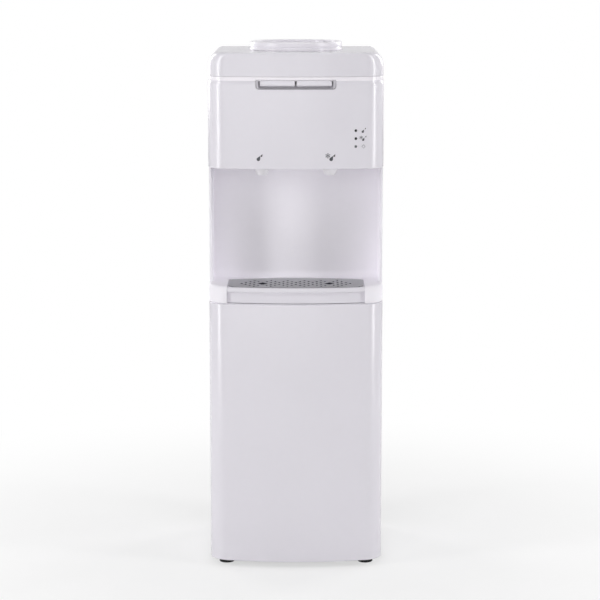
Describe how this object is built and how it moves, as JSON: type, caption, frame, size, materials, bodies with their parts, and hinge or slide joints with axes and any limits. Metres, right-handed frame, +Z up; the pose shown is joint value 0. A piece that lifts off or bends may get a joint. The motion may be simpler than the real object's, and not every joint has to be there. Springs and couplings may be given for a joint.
{
  "type": "water cooler",
  "caption": "Free-standing top-loading water cooler: bottle collar, hot and cold tap keys, dispensing recess with removable drip tray, cooling unit behind.",
  "frame": {"origin": "on the floor, under the middle of the cooler", "axes": "+Z up, +Y towards the back, +X to the right seen from the front"},
  "size_m": [0.32, 0.33, 0.97],
  "materials": {
    "painted_steel": "painted",
    "side_sheet": "satin white paint",
    "rubber_feet": "matt",
    "white_moulding": "satin gloss",
    "seat_moulding": "gloss",
    "tray_moulding": "satin",
    "grey_grille": "satin grey",
    "grey_frame": "satin grey",
    "silver_key": "silver paint",
    "pin_steel": "drawn",
    "tap_moulding": "moulded",
    "plunger_moulding": "moulded",
    "nozzle_moulding": "translucent pale",
    "light_pipe": "dark clear",
    "circuit_board": "lacquered",
    "zinc_sheet": "zinc coated",
    "stainless": "satin",
    "seal_rubber": "matt",
    "foam": "moulded foam",
    "copper_tube": "drawn copper",
    "black_moulding": "fine grain",
    "silicone_hose": "milky",
    "back_sheet": "white paint",
    "rocker_moulding": "gloss",
    "black_cap": "fine grain",
    "condenser_black": "black lacquer",
    "compressor_black": "black lacquer"
  },
  "bodies": {
    "cabinet": {"base_plate": "painted_steel", "feet": "rubber_feet", "left_side_panel": "side_sheet", "right_side_panel": "side_sheet", "lower_front_panel": "white_moulding", "dispensing_recess": "white_moulding", "upper_front_panel": "white_moulding", "top_cap": "white_moulding", "key_bezel": "grey_frame", "key_hinge_pins": "pin_steel", "hot_tap_body": "tap_moulding", "cold_tap_body": "tap_moulding", "tap_bonnets": "tap_moulding", "hot_tap_spring": "pin_steel", "cold_tap_spring": "pin_steel", "hot_nozzle": "nozzle_moulding", "cold_nozzle": "nozzle_moulding", "indicator_lights": "light_pipe", "control_board": "circuit_board", "tank_shelf": "zinc_sheet", "cold_tank": "stainless", "funnel_seal": "seal_rubber", "tank_insulation": "foam", "evaporator_coil": "copper_tube", "hot_tank": "stainless", "heater_band": "stainless", "thermostats": "black_moulding", "hot_tank_bracket": "zinc_sheet", "water_hoses": "silicone_hose", "back_panel": "back_sheet", "switch_frame": "black_moulding", "drain_spout": "black_moulding", "cord_gland": "black_moulding", "condenser": "condenser_black", "condenser_brackets": "condenser_black", "compressor": "compressor_black", "compressor_grommets": "seal_rubber", "start_relay": "black_moulding", "filter_drier": "copper_tube", "refrigerant_pipes": "copper_tube"},
    "drip_tray": {"drip_tray": "tray_moulding"},
    "drip_grille": {"drip_grille": "grey_grille"},
    "bottle_seat": {"bottle_seat": "seat_moulding", "bottle_probe": "seat_moulding"},
    "hot_key": {"hot_key": "silver_key"},
    "cold_key": {"cold_key": "silver_key"},
    "hot_plunger": {"hot_tap_plunger": "plunger_moulding"},
    "cold_plunger": {"cold_tap_plunger": "plunger_moulding"},
    "heating_switch": {"heating_switch": "rocker_moulding"},
    "cooling_switch": {"cooling_switch": "rocker_moulding"},
    "drain_cap": {"drain_cap": "black_cap"}
  },
  "joints": [
    {"name": "drip_tray_slide", "type": "slide", "parent": "cabinet", "child": "drip_tray", "axis": [0, -1, 0], "range_m": [0, 0.11]},
    {"name": "drip_grille_lift", "type": "slide", "parent": "drip_tray", "child": "drip_grille", "axis": [0, 0, 1], "range_m": [0, 0.06]},
    {"name": "bottle_seat_lift", "type": "slide", "parent": "cabinet", "child": "bottle_seat", "axis": [0, 0, 1], "range_m": [0, 0.1]},
    {"name": "hot_key_press", "type": "hinge", "parent": "cabinet", "child": "hot_key", "pos_m": [-0.035, -0.144, 0.8998], "axis": [1, 0, 0], "range_deg": [0, 10], "stiffness_Nm_per_rad": 0.6, "springref_deg": -8.59},
    {"name": "hot_plunger_lift", "type": "slide", "parent": "cabinet", "child": "hot_plunger", "axis": [0, 0, 1], "range_m": [0, 0.00579], "deforming": ["hot_tap_spring"]},
    {"name": "cold_key_press", "type": "hinge", "parent": "cabinet", "child": "cold_key", "pos_m": [0.035, -0.144, 0.8998], "axis": [1, 0, 0], "range_deg": [0, 10], "stiffness_Nm_per_rad": 0.6, "springref_deg": -8.59},
    {"name": "cold_plunger_lift", "type": "slide", "parent": "cabinet", "child": "cold_plunger", "axis": [0, 0, 1], "range_m": [0, 0.00579], "deforming": ["cold_tap_spring"]},
    {"name": "heating_switch_rock", "type": "hinge", "parent": "cabinet", "child": "heating_switch", "pos_m": [-0.017, 0.147, 0.8558], "axis": [1, 0, 0], "range_deg": [0, 20]},
    {"name": "cooling_switch_rock", "type": "hinge", "parent": "cabinet", "child": "cooling_switch", "pos_m": [0.017, 0.147, 0.8558], "axis": [1, 0, 0], "range_deg": [0, 20]},
    {"name": "drain_cap_turn", "type": "hinge", "parent": "cabinet", "child": "drain_cap", "pos_m": [0, 0.15, 0.217], "axis": [0, 1, 0], "continuous": true}
  ],
  "couplings": [
    {"joint": "hot_plunger_lift", "follows": "hot_key_press", "m_per_rad": 0.032},
    {"joint": "cold_plunger_lift", "follows": "cold_key_press", "m_per_rad": 0.032}
  ]
}
